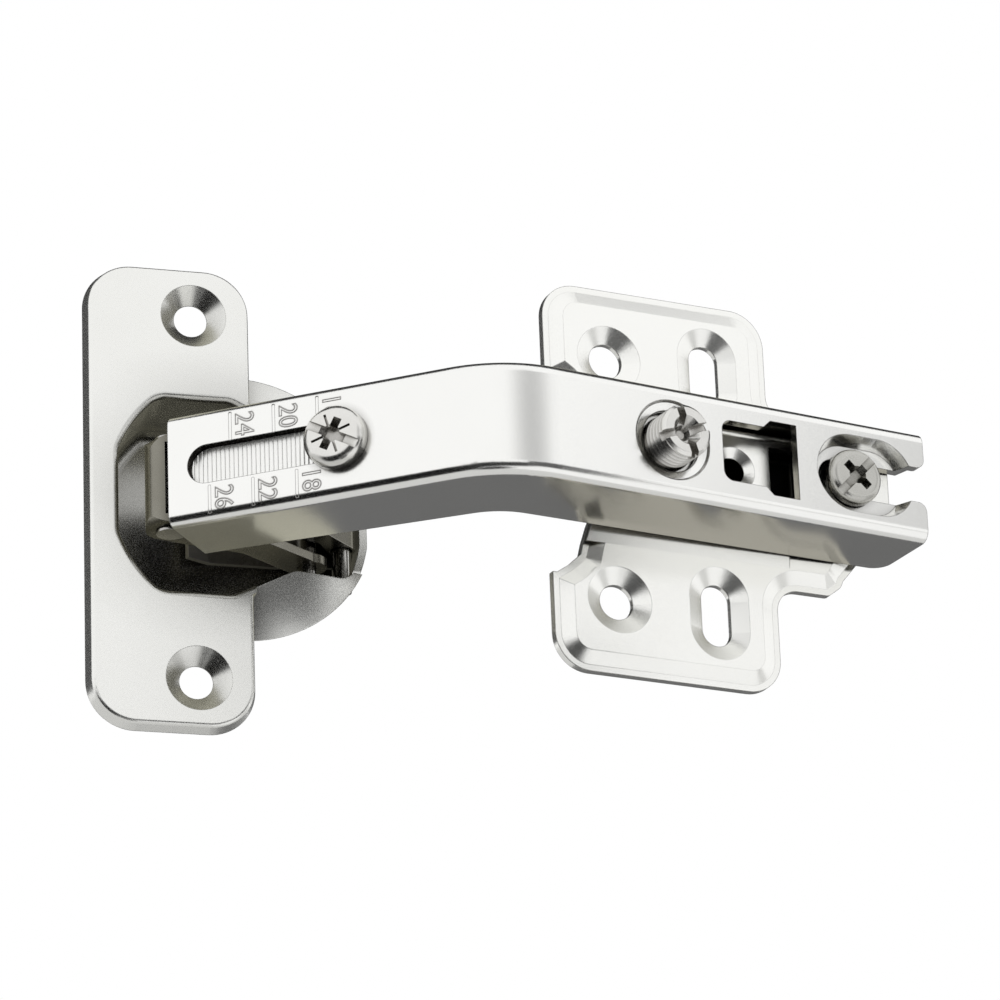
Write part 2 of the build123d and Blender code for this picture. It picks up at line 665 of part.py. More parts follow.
def mounting_plate():
    necks = neck_outline(1) + neck_outline(-1)
    blank = plate_blank(tail_corner_radius) - necks
    plain = plate_blank(0) - necks
    floor = plate_sheet + plate_pad_rise
    middle = Pos(0, 0, plate_sheet - 0.01) * extrude(
        offset(plain, -plate_rim, kind=Kind.INTERSECTION), plate_pad_rise + 0.01,
        taper=plate_rim_slope, dir=(0, 0, 1))
    body = slab(blank, 0, plate_sheet) + middle
    pocket = offset(plain, -plate_rim - plate_sheet * 0.5, kind=Kind.INTERSECTION)
    body -= Pos(0, 0, -0.01) * extrude(pocket, plate_pad_rise + 0.01, taper=plate_rim_slope,
                                       dir=(0, 0, 1))
    lean = bridge_rise * tan(radians(bridge_wall_lean))
    shape = Polygon((-bridge_half_width - lean, 0), (bridge_half_width + lean, 0),
                    (bridge_half_width, bridge_rise), (-bridge_half_width, bridge_rise), align=None)
    shape = fillet(corners_at(shape, [(bridge_half_width, bridge_rise),
                                      (-bridge_half_width, bridge_rise)]), 1.3)
    under = offset(shape, -plate_sheet)
    under += Rectangle(2 * (bridge_half_width + lean - plate_sheet), 2 * plate_sheet)
    length = bridge_right + bridge_left
    bridge = Pos(-bridge_left, 0, 0) * Plane.YZ.location * extrude(shape, length, dir=(0, 0, 1))
    tunnel = Pos(-bridge_left - 1, 0, 0) * Plane.YZ.location * extrude(under, length + 2,
                                                                       dir=(0, 0, 1))
    foot = Polygon((-foot_half_width, floor - 0.2), (foot_half_width, floor - 0.2),
                   (foot_half_width, floor), (bridge_half_width, floor + foot_rise),
                   (-bridge_half_width, floor + foot_rise), (-foot_half_width, floor), align=None)
    feet = Pos(-foot_left, 0, 0) * Plane.YZ.location * extrude(foot, foot_right + foot_left,
                                                               dir=(0, 0, 1))
    body = body + feet + bridge
    stretch = plate_slot_length - plate_slot_width
    slot = Rot(0, 0, 90) * SlotCenterToCenter(stretch, plate_slot_width)
    for side in (-1, 1):
        row = side * plate_hole_spacing / 2
        for x, hole in ((0, Circle(plate_hole_radius)), (plate_slot_offset, slot)):
            body += Pos(x, row) * slab(offset(hole, dimple_spread + 0.6), 0, floor - 0.05)
            body -= Pos(x, row) * screw_hole(hole)
    body -= tunnel
    neck = adjuster_neck_radius + 0.35
    entry = adjuster_button_radius + 0.4
    spot = adjuster_x()
    track = depth_travel_out + depth_travel_in
    key = Pos(spot + (depth_travel_in - depth_travel_out) / 2, 0) * SlotCenterToCenter(
        track, 2 * neck)
    key += Pos(spot + depth_travel_in + entry + 1.0, 0) * Circle(entry)
    key += Pos(spot + depth_travel_in + 1.5, 0) * Rectangle(4, 2 * neck)
    top = bridge_rise - plate_sheet - 1
    body -= slab(key, top, bridge_rise + 1)
    gap = Pos(bridge_window_start + bridge_window_length / 2, 0) * Rectangle(
        bridge_window_length, 2 * bridge_window_half_height)
    body -= slab(gap, top, bridge_rise + 1)
    dimple = cone_bar(bridge_hole_radius, bridge_hole_radius + bridge_hole_spread,
                      bridge_rise - plate_sheet * 0.7, bridge_rise)
    body -= Pos(bridge_hole_place, 0, 0) * (dimple + round_bar(bridge_hole_radius, top, bridge_rise))
    spot = fixing_x()
    boss_bottom = bridge_rise - plate_sheet - boss_length
    body += Pos(spot, 0, 0) * round_bar(fixing_shank_radius + boss_wall, boss_bottom,
                                        bridge_rise - plate_sheet / 2)
    body -= Pos(spot, 0, 0) * round_bar(fixing_shank_radius + thread_clearance, 0.5,
                                        bridge_rise + 1)
    for side in (-1, 1):
        body -= slab(neck_outline(side), -1, bridge_rise + 1)
    return face_frame(0, 0, 0) * body


def pieces():
    cup_pin_reach = well_throat_half + cup_sheet
    link_outside = carrier_front_half_width + link_side_clearance + link_sheet
    return {
        "mounting_plate": mounting_plate(),
        "fixing_screw": fixing_screw(),
        "hinge_arm": hinge_arm(),
        "side_adjust_screw": side_adjust_screw(),
        "link_carrier": link_carrier(),
        "clamp_screw": clamp_screw(),
        "carrier_outer_pin": pin(carrier_outer_pin, link_outside + 0.1, True),
        "carrier_inner_pin": pin(carrier_inner_pin, carrier_front_half_width, False),
        "outer_link": outer_link(),
        "inner_link": inner_link(),
        "hinge_cup": hinge_cup(),
        "cup_outer_pin": pin(cup_outer_pin, cup_pin_reach, False),
        "cup_inner_pin": pin(cup_inner_pin, cup_pin_reach - rear_pin_relief, False),
        "closing_spring": closing_spring(),
    }


os.makedirs("parts", exist_ok=True)
for name, solid in pieces().items():
    export_step(solid, f"parts/{name}.step")
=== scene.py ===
import bpy, json
from math import cos, sin, radians, pi
from mathutils import Matrix, Vector


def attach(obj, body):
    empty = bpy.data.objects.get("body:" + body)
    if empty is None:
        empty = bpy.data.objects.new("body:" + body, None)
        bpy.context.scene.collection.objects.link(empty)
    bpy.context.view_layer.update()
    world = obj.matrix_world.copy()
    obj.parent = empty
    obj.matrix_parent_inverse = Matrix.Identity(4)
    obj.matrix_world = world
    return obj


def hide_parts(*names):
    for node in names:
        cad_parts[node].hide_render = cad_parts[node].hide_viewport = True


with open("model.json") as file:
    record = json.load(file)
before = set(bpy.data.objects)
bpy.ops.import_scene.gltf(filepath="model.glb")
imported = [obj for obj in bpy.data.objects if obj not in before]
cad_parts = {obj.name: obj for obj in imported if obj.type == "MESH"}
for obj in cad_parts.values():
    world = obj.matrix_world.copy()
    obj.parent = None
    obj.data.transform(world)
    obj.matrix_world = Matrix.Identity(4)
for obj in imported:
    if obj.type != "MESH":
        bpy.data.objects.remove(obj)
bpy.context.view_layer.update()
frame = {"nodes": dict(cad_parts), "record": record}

# A concealed hinge for a corner cabinet door, satin nickel on pressed steel.
# Everything is in metres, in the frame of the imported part.
mm = 0.001
nodes = frame["nodes"]
print("frame loaded:", len(nodes), "nodes")

# The view: angles of the line of sight, the lens, and where the part's origin lies in front of it
viewpoint = {
    "azimuth": -25.955, "elevation": -22.0, "roll": 2.212,
    "focalPixels": 5655.4, "imageWidth": 1000, "sensorWidth": 36, "near": 0.02, "far": 20,
    "ahead": (13.308 * mm, 2.080 * mm, 696.078 * mm),
}


def makeCamera(user):
    azimuth, elevation, roll = (radians(user[key]) for key in ("azimuth", "elevation", "roll"))
    back = Vector((sin(azimuth) * cos(elevation), -cos(azimuth) * cos(elevation), sin(elevation)))
    right = (-back).cross(Vector((0, 0, 1))).normalized()
    up = right.cross(-back)
    right, up = right * cos(roll) - up * sin(roll), right * sin(roll) + up * cos(roll)
    x, y, z = user["ahead"]
    place = -(right * x + up * y - back * z)
    data = bpy.data.cameras.new("viewCamera")
    data.sensor_width = user["sensorWidth"]
    data.lens = data.sensor_width * user["focalPixels"] / user["imageWidth"]
    data.clip_start, data.clip_end = user["near"], user["far"]
    camera = bpy.data.objects.new("viewCamera", data)
    bpy.context.scene.collection.objects.link(camera)
    turn = Matrix((right, up, back)).transposed().to_4x4()
    camera.matrix_world = Matrix.Translation(place) @ turn
    bpy.context.scene.camera = camera


makeCamera(viewpoint)
print("camera placed")

# The studio: a white tent, a pale floor well below, soft lamps that gloss doesn't see, and cards
# that only gloss sees. Cards look at the centre, or at the place that they are seen from. "soft"
# is how far in from its rim a card fades.
studio = {
    "centre": (-15 * mm, 0, 0), "skyGlow": 0.95, "matt": 0.9,
    "floorDrop": -0.36, "floorSize": 6.0, "floorColour": (0.80, 0.80, 0.79),
    "lamps": {
        "keyLamp": {
            "towards": (-0.75, -0.55, 0.62), "distance": 0.9, "size": 0.55, "watts": 0.5},
        "fillLamp": {
            "towards": (0.75, -0.75, 0.40), "distance": 0.9, "size": 0.50, "watts": 0.4},
        "lowLamp": {
            "towards": (0.50, -0.42, -0.72), "distance": 0.5, "size": 0.22, "watts": 0.15},
    },
    "cards": {
        "floorGlow": {
            "towards": (0.15, -0.62, -0.77), "distance": 0.38, "size": 0.60, "tone": 0.95},
        "lowerLeftCard": {
            "towards": (-0.80, -0.32, -0.52), "distance": 0.26, "size": 0.27, "tone": 0.005,
            "soft": 0.2},
        "bendLowCard": {
            "towards": (-0.50, -0.78, -0.36), "distance": 0.24, "size": 0.24, "tone": 0.02,
            "soft": 0.5},
        "bendRightCard": {
            "towards": (-0.12, -0.90, -0.38), "distance": 0.22, "size": 0.20, "tone": 0.03,
            "soft": 0.6},
        "coneCard": {
            "towards": (-0.27, -0.50, -0.81), "distance": 0.28, "size": 0.16, "tone": 0.03,
            "soft": 0.5},
        "skirtCard": {
            "towards": (0.42, -0.90, -0.04), "distance": 0.12, "size": 0.060, "tone": 0.09,
            "seenFrom": (-40 * mm, 12 * mm, -18 * mm)},
        "bendCard": {
            "towards": (0.13, -0.915, 0.37), "distance": 0.10, "size": 0.090, "tone": 0.56,
            "soft": 0.9, "seenFrom": (-19 * mm, -17 * mm, 0)},
        "endCard": {
            "towards": (0.52, -0.77, 0.375), "distance": 0.30, "size": 0.17, "tone": 0.62,
            "soft": 0.8, "seenFrom": (88 * mm, -12 * mm, 0)},
        "backCard": {
            "towards": (0.40, 0.83, -0.38), "distance": 0.40, "size": 0.34, "tone": 0.14},
        "behindCard": {
            "towards": (0.41, 0.83, 0.37), "distance": 0.42, "size": 0.30, "tone": 0.08},
        "backLeftCard": {
            "towards": (-0.60, 0.72, 0.34), "distance": 0.40, "size": 0.30, "tone": 0.068},
        "rightCard": {
            "towards": (0.80, 0.40, 0.40), "distance": 0.45, "size": 0.50, "tone": 0.25,
            "soft": 0.5},
        "topCard": {
            "towards": (0.22, 0.52, 0.83), "distance": 0.35, "size": 0.50, "tone": 0.04},
        "topBackCard": {
            "towards": (0.39, 0.70, 0.60), "distance": 0.40, "size": 0.30, "tone": 0.02,
            "soft": 0.35},
    },
}


def mathNode(tree, operation, first, second):
    # Each term is a number or a socket
    node = tree.nodes.new("ShaderNodeMath")
    node.operation = operation
    for socket, value in zip(node.inputs, (first, second)):
        if isinstance(value, (int, float)):
            socket.default_value = value
        else:
            tree.links.new(value, socket)
    return node.outputs[0]


def facing(towards):
    return (-Vector(towards)).to_track_quat("-Z", "Y").to_matrix().to_4x4()


def standing(user, centre):
    # Where a lamp or a card stands, turned to the centre
    towards = Vector(user["towards"]).normalized()
    return Matrix.Translation(Vector(centre) + towards * user["distance"]) @ facing(towards)


def stageMaterial(name, colour):
    material = bpy.data.materials.new(name)
    material.use_nodes = True
    shader = material.node_tree.nodes["Principled BSDF"]
    shader.inputs["Base Color"].default_value = (*colour, 1)
    shader.inputs["Roughness"].default_value = studio["matt"]
    return material


def makeWorld(user):
    # White for the camera, gloss and glass, and a soft sky for all other rays
    world = bpy.data.worlds.new("whiteTent")
    bpy.context.scene.world = world
    world.use_nodes = True
    tree = world.node_tree
    tree.nodes.clear()
    rays = tree.nodes.new("ShaderNodeLightPath").outputs
    seen = mathNode(tree, "MAXIMUM", rays["Is Camera Ray"], rays["Is Glossy Ray"])
    seen = mathNode(tree, "MAXIMUM", seen, rays["Is Transmission Ray"])
    glow = tree.nodes.new("ShaderNodeBackground")
    glow.inputs["Strength"].default_value = user["skyGlow"]
    white = tree.nodes.new("ShaderNodeBackground")
    white.inputs["Color"].default_value = (1, 1, 1, 1)
    white.inputs["Strength"].default_value = 1
    mix = tree.nodes.new("ShaderNodeMixShader")
    out = tree.nodes.new("ShaderNodeOutputWorld")
    tree.links.new(seen, mix.inputs[0])
    tree.links.new(glow.outputs[0], mix.inputs[1])
    tree.links.new(white.outputs[0], mix.inputs[2])
    tree.links.new(mix.outputs[0], out.inputs["Surface"])


def makeLamp(name, user, centre):
    data = bpy.data.lights.new(name, "AREA")
    data.energy = user["watts"]
    data.size = user["size"]
    lamp = bpy.data.objects.new(name, data)
    bpy.context.scene.collection.objects.link(lamp)
    lamp.matrix_world = standing(user, centre)
    lamp.visible_glossy = False


def softenCard(tree, user):
    # The card fades to nothing towards its rim
    place = tree.nodes.new("ShaderNodeTexCoord")
    size = tree.nodes.new("ShaderNodeVectorMath")
    size.operation = "SCALE"
    size.inputs["Scale"].default_value = 2 / user["size"]
    circle = tree.nodes.new("ShaderNodeTexGradient")
    circle.gradient_type = "SPHERICAL"
    fade = tree.nodes.new("ShaderNodeMapRange")
    fade.interpolation_type = "SMOOTHSTEP"
    fade.inputs["From Max"].default_value = user["soft"]
    tree.links.new(place.outputs["Object"], size.inputs[0])
    tree.links.new(size.outputs["Vector"], circle.inputs["Vector"])
    tree.links.new(circle.outputs["Fac"], fade.inputs["Value"])
    tree.links.new(fade.outputs["Result"], tree.nodes["Principled BSDF"].inputs["Alpha"])


def makeCard(name, user, centre):
    bpy.ops.mesh.primitive_plane_add(size=user["size"])
    card = bpy.context.object
    card.name = name
    card.matrix_world = standing(user, user.get("seenFrom", centre))
    material = stageMaterial(name + "Paint", (0, 0, 0))
    shader = material.node_tree.nodes["Principled BSDF"]
    shader.inputs["Specular IOR Level"].default_value = 0
    shader.inputs["Emission Color"].default_value = (*(user["tone"],) * 3, 1)
    shader.inputs["Emission Strength"].default_value = 1
    if "soft" in user:
        softenCard(material.node_tree, user)
    card.data.materials.append(material)
    card.visible_camera = False
    card.visible_diffuse = False
    card.visible_shadow = False


def makeStudio(user):
    makeWorld(user)
    bpy.ops.mesh.primitive_plane_add(size=user["floorSize"], location=(0, 0, user["floorDrop"]))
    floor = bpy.context.object
    floor.name = "studioFloor"
    floor.data.materials.append(stageMaterial("paleFloor", user["floorColour"]))
    for name, lamp in user["lamps"].items():
        makeLamp(name, lamp, user["centre"])
    for name, card in user["cards"].items():
        makeCard(name, card, user["centre"])
    bpy.context.scene.view_settings.view_transform = "Standard"


makeStudio(studio)
print("studio ready")

# What all the finishes share: detail of their noises, rays of their edge and hollow tests, how
# alike rounded and flat normals are where the edge mask starts and is full, the range of the
# grain and the strength of its relief
surface = {
    "grainDetail": 3, "cloudDetail": 4, "cloudRoughness": 0.55, "rays": 6,
    "edgeFrom": 0.99, "edgeFull": 0.90, "grainLow": 0.3, "grainHigh": 0.7, "relief": 0.6,
}


def newGroup(name, inputs, outputs):
    group = bpy.data.node_groups.new(name, "ShaderNodeTree")
    for label, value in inputs:
        socket = group.interface.new_socket(label, in_out="INPUT", socket_type="NodeSocketFloat")
        socket.default_value = value
    for label, kind in outputs:
        group.interface.new_socket(label, in_out="OUTPUT", socket_type=kind)
    return group, group.nodes.new("NodeGroupInput"), group.nodes.new("NodeGroupOutput")


def makePlatingGroup(user):
    # Tumbled and plated steel: a fine grain and a cloudy tone
    group, start, end = newGroup(
        "platedGrain", [("Grain Size", 9000.0), ("Cloud Size", 120.0)],
        [("Cloud", "NodeSocketFloat"), ("Grain", "NodeSocketFloat")])
    links = group.links
    place = group.nodes.new("ShaderNodeTexCoord")
    fine = group.nodes.new("ShaderNodeTexNoise")
    fine.inputs["Detail"].default_value = user["grainDetail"]
    cloud = group.nodes.new("ShaderNodeTexNoise")
    cloud.inputs["Detail"].default_value = user["cloudDetail"]
    cloud.inputs["Roughness"].default_value = user["cloudRoughness"]
    for noise, size, result in ((fine, "Grain Size", "Grain"), (cloud, "Cloud Size", "Cloud")):
        links.new(place.outputs["Object"], noise.inputs["Vector"])
        links.new(start.outputs[size], noise.inputs["Scale"])
        links.new(noise.outputs["Fac"], end.inputs[result])
    return group


def makeEdgeGroup(user):
    # Normals of rounded edges, and a mask that is 1 where an edge is near, where the finishes
    # paint their edge lines
    group, start, end = newGroup(
        "softEdge", [("Radius", 0.0002)],
        [("Edge", "NodeSocketFloat"), ("Normal", "NodeSocketVector")])
    links = group.links
    rounded = group.nodes.new("ShaderNodeBevel")
    rounded.samples = user["rays"]
    links.new(start.outputs["Radius"], rounded.inputs["Radius"])
    flat = group.nodes.new("ShaderNodeNewGeometry")
    compare = group.nodes.new("ShaderNodeVectorMath")
    compare.operation = "DOT_PRODUCT"
    links.new(rounded.outputs["Normal"], compare.inputs[0])
    links.new(flat.outputs["Normal"], compare.inputs[1])
    spread = group.nodes.new("ShaderNodeMapRange")
    spread.inputs["From Min"].default_value = user["edgeFrom"]
    spread.inputs["From Max"].default_value = user["edgeFull"]
    links.new(compare.outputs["Value"], spread.inputs["Value"])
    links.new(spread.outputs["Result"], end.inputs["Edge"])
    links.new(rounded.outputs["Normal"], end.inputs["Normal"])
    return group


def makeHollowGroup(user):
    # 1 in the open and 0 deep in a hollow: a mask of painted shade, from ambient occlusion
    group, start, end = newGroup(
        "hollowShade", [("Reach", 0.006), ("Contrast", 1.0)], [("Open", "NodeSocketFloat")])
    cover = group.nodes.new("ShaderNodeAmbientOcclusion")
    cover.samples = user["rays"]
    group.links.new(start.outputs["Reach"], cover.inputs["Distance"])
    shade = mathNode(group, "POWER", cover.outputs["AO"], start.outputs["Contrast"])
    group.links.new(shade, end.inputs["Open"])
    return group


platedGrain = makePlatingGroup(surface)
softEdge = makeEdgeGroup(surface)
hollowShade = makeHollowGroup(surface)

# Finishes: colour in the open, its cloudier tone, the painted shade of hollows and the colour
# painted along edges; the spread of roughness; grain and cloud per metre; in mm the height of the
# grain, the radius of edges and the reach of hollows; how fast the painted shade of hollows
# darkens; and where other parts mirror a deeper colour, that painted reflection colour and its
# own painted glow in a mirror
finishes = {
    "plate_steel": {
        "pale": (0.965, 0.965, 0.94), "deep": (0.92, 0.918, 0.885),
        "dark": (0.20, 0.19, 0.17), "rim": (0.10, 0.095, 0.085),
        "rough": (0.16, 0.26), "grain": 7000, "cloud": 110,
        "height": 0.003, "edge": 0.17, "reach": 1.2, "shade": 0.5,
        "paintedReflection": (0.40, 0.385, 0.335)},
    "arm_steel": {
        "pale": (0.955, 0.955, 0.935), "deep": (0.91, 0.908, 0.885),
        "dark": (0.10, 0.09, 0.08), "rim": (0.05, 0.045, 0.04),
        "rough": (0.14, 0.22), "grain": 5600, "cloud": 90,
        "height": 0.004, "edge": 0.17, "reach": 1.1, "shade": 0.6},
    "carrier_steel": {
        "pale": (0.955, 0.955, 0.935), "deep": (0.92, 0.918, 0.895),
        "dark": (0.55, 0.54, 0.52), "rim": (0.80, 0.79, 0.77),
        "rough": (0.26, 0.34), "grain": 7000, "cloud": 120,
        "height": 0.002, "edge": 0.03, "reach": 0.5, "shade": 0.5,
        "paintedReflection": (0.03, 0.028, 0.025)},
    "cup_steel": {
        "pale": (0.90, 0.90, 0.875), "deep": (0.84, 0.84, 0.81),
        "dark": (0.06, 0.055, 0.043), "rim": (0.10, 0.095, 0.08),
        "rough": (0.20, 0.30), "grain": 6000, "cloud": 80,
        "height": 0.0015, "edge": 0.15, "reach": 13.0, "shade": 1.3,
        "paintedReflection": (0.34, 0.33, 0.27), "paintedMirrorGlow": 0.28},
    "link_steel": {
        "pale": (0.33, 0.32, 0.275), "deep": (0.20, 0.19, 0.16),
        "dark": (0.03, 0.027, 0.02), "rim": (0.60, 0.59, 0.55),
        "rough": (0.20, 0.32), "grain": 7000, "cloud": 160,
        "height": 0.003, "edge": 0.12, "reach": 4.0, "shade": 1.2},
    "screw_steel": {
        "pale": (0.84, 0.835, 0.81), "deep": (0.70, 0.69, 0.66),
        "dark": (0.06, 0.05, 0.035), "rim": (0.55, 0.54, 0.51),
        "rough": (0.16, 0.28), "grain": 9000, "cloud": 420,
        "height": 0.003, "edge": 0.07, "reach": 1.8, "shade": 1.3},
    # A darker copy of the screw finish: painted shade on the fixing screw
    "shaded_screw_steel": {
        "pale": (0.60, 0.595, 0.565), "deep": (0.46, 0.455, 0.425),
        "dark": (0.05, 0.045, 0.03), "rim": (0.45, 0.44, 0.41),
        "rough": (0.18, 0.30), "grain": 9000, "cloud": 420,
        "height": 0.003, "edge": 0.07, "reach": 1.8, "shade": 1.3},
    # The scale's grey wires: painted shade for the shaded sides of the stamped strokes
    "mark_steel": {
        "pale": (0.52, 0.51, 0.50), "deep": (0.36, 0.35, 0.34),
        "dark": (0.10, 0.10, 0.09), "rim": (0.50, 0.49, 0.48),
        "rough": (0.30, 0.40), "grain": 12000, "cloud": 300,
        "height": 0.002, "edge": 0.02, "reach": 0.5, "shade": 1.0},
    # The well's finish: nearly black in its hollows and in reflections, painted shade of the
    # closed tunnel
    "well_steel": {
        "pale": (0.80, 0.79, 0.76), "deep": (0.68, 0.67, 0.64),
        "dark": (0.004, 0.004, 0.003), "rim": (0.30, 0.29, 0.27),
        "rough": (0.30, 0.45), "grain": 7000, "cloud": 200,
        "height": 0.003, "edge": 0.1, "reach": 7.0, "shade": 4.0,
        "paintedReflection": (0.02, 0.02, 0.018)},
    "pin_steel": {
        "pale": (0.72, 0.71, 0.69), "deep": (0.60, 0.59, 0.57),
        "dark": (0.06, 0.055, 0.05), "rim": (0.80, 0.79, 0.77),
        "rough": (0.12, 0.22), "grain": 9000, "cloud": 300,
        "height": 0.002, "edge": 0.1, "reach": 4.0, "shade": 1.2},
    "spring_steel": {
        "pale": (0.46, 0.45, 0.43), "deep": (0.33, 0.32, 0.30),
        "dark": (0.03, 0.03, 0.03), "rim": (0.50, 0.49, 0.47),
        "rough": (0.25, 0.42), "grain": 9000, "cloud": 200,
        "height": 0.003, "edge": 0.1, "reach": 6.0, "shade": 1.4},
}


def useGroup(tree, group, values):
    node = tree.nodes.new("ShaderNodeGroup")
    node.node_tree = group
    for label, value in values.items():
        node.inputs[label].default_value = value
    return node.outputs


def mixed(tree, factor, first, second):
    # Each of the two is a colour or a socket
    node = tree.nodes.new("ShaderNodeMix")
    node.data_type = "RGBA"
    tree.links.new(factor, node.inputs["Factor"])
    for label, colour in (("A", first), ("B", second)):
        if isinstance(colour, tuple):
            node.inputs[label].default_value = (*colour, 1)
        else:
            tree.links.new(colour, node.inputs[label])
    return node.outputs["Result"]


def makeFinish(name, user):
    material = bpy.data.materials.new(name)
    material.use_nodes = True
    tree = material.node_tree
    shader = tree.nodes["Principled BSDF"]
    shader.inputs["Metallic"].default_value = 1
    plating = useGroup(tree, platedGrain,
                       {"Grain Size": user["grain"], "Cloud Size": user["cloud"]})
    edge = useGroup(tree, softEdge, {"Radius": user["edge"] * mm})
    hollow = useGroup(tree, hollowShade,
                      {"Reach": user["reach"] * mm, "Contrast": user["shade"]})
    colour = mixed(tree, plating["Cloud"], user["deep"], user["pale"])
    # Painted edge lines: a painted shade line along edges on most finishes, a painted highlight
    # on the link, pin and spring finishes
    colour = mixed(tree, edge["Edge"], colour, user["rim"])
    # Painted shade: hollows take the dark colour, by the ambient occlusion mask
    colour = mixed(tree, hollow["Open"], user["dark"], colour)
    # Painted reflection: other parts see this deeper colour in their reflections of the part, not
    # the colour the camera sees
    if "paintedReflection" in user:
        rays = tree.nodes.new("ShaderNodeLightPath").outputs
        colour = mixed(tree, rays["Is Camera Ray"], user["paintedReflection"], colour)
    # Painted light: the part glows in other parts' reflections, though it is no lamp
    if "paintedMirrorGlow" in user:
        glow = mathNode(tree, "MULTIPLY", rays["Is Glossy Ray"], user["paintedMirrorGlow"])
        shader.inputs["Emission Color"].default_value = (*user["paintedReflection"], 1)
        tree.links.new(glow, shader.inputs["Emission Strength"])
    tree.links.new(colour, shader.inputs["Base Color"])
    gloss = tree.nodes.new("ShaderNodeMapRange")
    gloss.inputs["From Min"].default_value = surface["grainLow"]
    gloss.inputs["From Max"].default_value = surface["grainHigh"]
    gloss.inputs["To Min"].default_value, gloss.inputs["To Max"].default_value = user["rough"]
    tree.links.new(plating["Grain"], gloss.inputs["Value"])
    tree.links.new(gloss.outputs["Result"], shader.inputs["Roughness"])
    bump = tree.nodes.new("ShaderNodeBump")
    bump.inputs["Strength"].default_value = surface["relief"]
    bump.inputs["Distance"].default_value = user["height"] * mm
    tree.links.new(plating["Grain"], bump.inputs["Height"])
    tree.links.new(edge["Normal"], bump.inputs["Normal"])
    tree.links.new(bump.outputs["Normal"], shader.inputs["Normal"])
    return material


metals = {name: makeFinish(name, user) for name, user in finishes.items()}
slotOf = {part["node"]: part["material_slot"] for part in frame["record"]["subparts"]}
# Nodes that look other than their slot's finish; the fixing screw's is a darker copy of the screw
# finish, painted shade
ownLook = {"link_carrier": "carrier_steel", "fixing_screw": "shaded_screw_steel"}
for name, thing in nodes.items():
    thing.data.materials.clear()
    thing.data.materials.append(metals[ownLook.get(name, slotOf[name])])
print("finishes made:", len(metals))

# The arm's two webs: a point on the outer face of each, in mm, and its direction in degrees
armFront = {"tip": (-52.350, 14.867, 0), "angle": -46.0}
armRear = {"bend": (-21.75, -16.82, 0), "angle": 4.0}


def webFrame(origin, angle):
    # X along the web, Y up, Z out of it
    a = radians(angle)
    along, up, out = Vector((cos(a), sin(a), 0)), Vector((0, 0, 1)), Vector((sin(a), -cos(a), 0))
    turn = Matrix((along, up, out)).transposed().to_4x4()
    return Matrix.Translation(Vector(origin) * mm) @ turn


def settle(piece, place):
    # Takes a piece modelled in mm to its place, in its mesh, with its object at the origin
    piece.data.transform(place @ Matrix.Scale(mm, 4) @ piece.matrix_world)
    piece.matrix_world = Matrix.Identity(4)
    piece.data.update()


def only(piece):
    bpy.ops.object.select_all(action="DESELECT")
    piece.select_set(True)
    bpy.context.view_layer.objects.active = piece


def joined(pieces, name):
    only(pieces[0])
    for piece in pieces[1:]:
        piece.select_set(True)
    bpy.ops.object.join()
    pieces[0].name = name
    return pieces[0]


def dress(piece, finish, smoothUnder):
    only(piece)
    bpy.ops.object.shade_smooth_by_angle(angle=radians(smoothUnder))
    piece.data.materials.clear()
    piece.data.materials.append(metals[finish])


# The overlay scale on the arm's front web, in mm of the web's frame. Its outlines are fine wires
# that stand a little out of the web, a line and a number for each 2 mm of overlay, in a grey
# darker
# than the web: painted shade for the shaded sides of the stamped strokes.
marks = {
    "first": 26, "count": 6, "perLine": 2, "start": 5.45, "step": 2.86,
    "lowerRow": -4.72, "upperRow": 4.34,
    "lineLength": 3.7, "lineWidth": 0.36, "lineCorner": 0.108, "cornerSteps": 2,
    "digitGap": 0.72, "digitHeight": 2.4, "narrow": 0.90, "digitSteps": 4,
    "wire": 0.036, "wireSteps": 1, "sunk": 0.012, "smoothUnder": 60,
}


def wired(curve, user):
    # A curve made into a fine wire
    curve.data.bevel_depth = user["wire"]
    curve.data.bevel_resolution = user["wireSteps"]
    bpy.ops.object.convert(target="MESH")
    return bpy.context.object


def outlined(number, user):
    # A number drawn by its outline
    bpy.ops.object.text_add()
    text = bpy.context.object
    text.data.body = str(number)
    text.data.resolution_u = user["digitSteps"]
    only(text)
    bpy.ops.object.convert(target="CURVE")
    curve = bpy.context.object
    xs = [p.co.x for spline in curve.data.splines for p in spline.bezier_points]
    ys = [p.co.y for spline in curve.data.splines for p in spline.bezier_points]
    grown = user["digitHeight"] / (max(ys) - min(ys))
    fit = Matrix.Diagonal((grown * user["narrow"], grown, 1, 1))
    middle = Matrix.Translation((-(max(xs) + min(xs)) / 2, -min(ys), 0))
    curve.data.transform(fit @ middle)
    curve.data.dimensions = "3D"
    curve.data.fill_mode = "FULL"
    return wired(curve, user)


def scaleLine(user):
    # A line drawn by its outline, a narrow bar with rounded corners
    bpy.ops.mesh.primitive_plane_add(size=1)
    line = bpy.context.object
    only(line)
    bpy.ops.object.mode_set(mode="EDIT")
    bpy.ops.transform.resize(value=(user["lineWidth"], user["lineLength"], 1))
    bpy.ops.mesh.bevel(offset=user["lineCorner"], segments=user["cornerSteps"], affect="VERTICES")
    bpy.ops.mesh.delete(type="ONLY_FACE")
    bpy.ops.object.mode_set(mode="OBJECT")
    bpy.ops.object.convert(target="CURVE")
    return wired(bpy.context.object, user)


